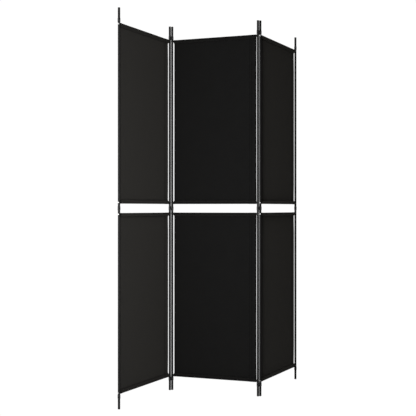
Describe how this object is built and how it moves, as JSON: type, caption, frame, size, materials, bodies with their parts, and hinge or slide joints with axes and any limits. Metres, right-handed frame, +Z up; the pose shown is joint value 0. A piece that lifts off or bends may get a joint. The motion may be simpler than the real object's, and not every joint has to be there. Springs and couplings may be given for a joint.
{
  "type": "folding room divider screen",
  "caption": "Free-standing zigzag folding screen: tubular steel panels with sleeved fabric on crossbars, an open slot at mid height, joined by turning double-ring hinge clips.",
  "frame": {"origin": "on the floor, under the centre of the middle panel, which is the centre of the footprint's box", "axes": "+Z up; +X along the zigzag from the left panel to the right one; the front, which the reference view shows, faces -Y"},
  "size_m": [1.163, 0.3278, 2],
  "materials": {
    "powder_coat": "fine satin black powder coat on steel tube",
    "fabric": "matt black plain-weave polyester",
    "clip_plastic": "matt moulded black plastic",
    "foot_plastic": "matt moulded black plastic",
    "zinc": "bright zinc-plated screws"
  },
  "bodies": {
    "middle_panel": {"middle_panel_left_pole": "powder_coat", "middle_panel_left_foot": "foot_plastic", "middle_panel_left_bottom_screw": "zinc", "middle_panel_left_lower_middle_screw": "zinc", "middle_panel_left_upper_middle_screw": "zinc", "middle_panel_left_top_screw": "zinc", "middle_panel_right_pole": "powder_coat", "middle_panel_right_foot": "foot_plastic", "middle_panel_right_bottom_screw": "zinc", "middle_panel_right_lower_middle_screw": "zinc", "middle_panel_right_upper_middle_screw": "zinc", "middle_panel_right_top_screw": "zinc", "middle_panel_bottom_crossbar": "powder_coat", "middle_panel_lower_middle_crossbar": "powder_coat", "middle_panel_upper_middle_crossbar": "powder_coat", "middle_panel_top_crossbar": "powder_coat", "middle_panel_lower_fabric": "fabric", "middle_panel_upper_fabric": "fabric"},
    "left_clips": {"left_bottom_hinge_clip": "clip_plastic", "left_middle_hinge_clip": "clip_plastic", "left_top_hinge_clip": "clip_plastic"},
    "left_panel": {"left_panel_outer_pole": "powder_coat", "left_panel_outer_foot": "foot_plastic", "left_panel_outer_bottom_screw": "zinc", "left_panel_outer_lower_middle_screw": "zinc", "left_panel_outer_upper_middle_screw": "zinc", "left_panel_outer_top_screw": "zinc", "left_panel_hinge_pole": "powder_coat", "left_panel_hinge_foot": "foot_plastic", "left_panel_hinge_bottom_screw": "zinc", "left_panel_hinge_lower_middle_screw": "zinc", "left_panel_hinge_upper_middle_screw": "zinc", "left_panel_hinge_top_screw": "zinc", "left_panel_bottom_crossbar": "powder_coat", "left_panel_lower_middle_crossbar": "powder_coat", "left_panel_upper_middle_crossbar": "powder_coat", "left_panel_top_crossbar": "powder_coat", "left_panel_lower_fabric": "fabric", "left_panel_upper_fabric": "fabric"},
    "right_clips": {"right_bottom_hinge_clip": "clip_plastic", "right_middle_hinge_clip": "clip_plastic", "right_top_hinge_clip": "clip_plastic"},
    "right_panel": {"right_panel_hinge_pole": "powder_coat", "right_panel_hinge_foot": "foot_plastic", "right_panel_hinge_bottom_screw": "zinc", "right_panel_hinge_lower_middle_screw": "zinc", "right_panel_hinge_upper_middle_screw": "zinc", "right_panel_hinge_top_screw": "zinc", "right_panel_outer_pole": "powder_coat", "right_panel_outer_foot": "foot_plastic", "right_panel_outer_bottom_screw": "zinc", "right_panel_outer_lower_middle_screw": "zinc", "right_panel_outer_upper_middle_screw": "zinc", "right_panel_outer_top_screw": "zinc", "right_panel_bottom_crossbar": "powder_coat", "right_panel_lower_middle_crossbar": "powder_coat", "right_panel_upper_middle_crossbar": "powder_coat", "right_panel_top_crossbar": "powder_coat", "right_panel_lower_fabric": "fabric", "right_panel_upper_fabric": "fabric"}
  },
  "joints": [
    {"name": "left_fold", "type": "hinge", "parent": "middle_panel", "child": "left_clips", "pos_m": [-0.18691, 0.15684, 0], "axis": [0, 0, 1], "range_deg": [-65, 48]},
    {"name": "left_panel_turn", "type": "hinge", "parent": "left_clips", "child": "left_panel", "pos_m": [-0.20092, 0.15684, 0], "axis": [0, 0, 1], "range_deg": [-65, 48]},
    {"name": "right_fold", "type": "hinge", "parent": "middle_panel", "child": "right_clips", "pos_m": [0.18691, -0.15684, 0], "axis": [0, 0, 1], "range_deg": [-65, 48]},
    {"name": "right_panel_turn", "type": "hinge", "parent": "right_clips", "child": "right_panel", "pos_m": [0.20092, -0.15684, 0], "axis": [0, 0, 1], "range_deg": [-65, 48]}
  ]
}
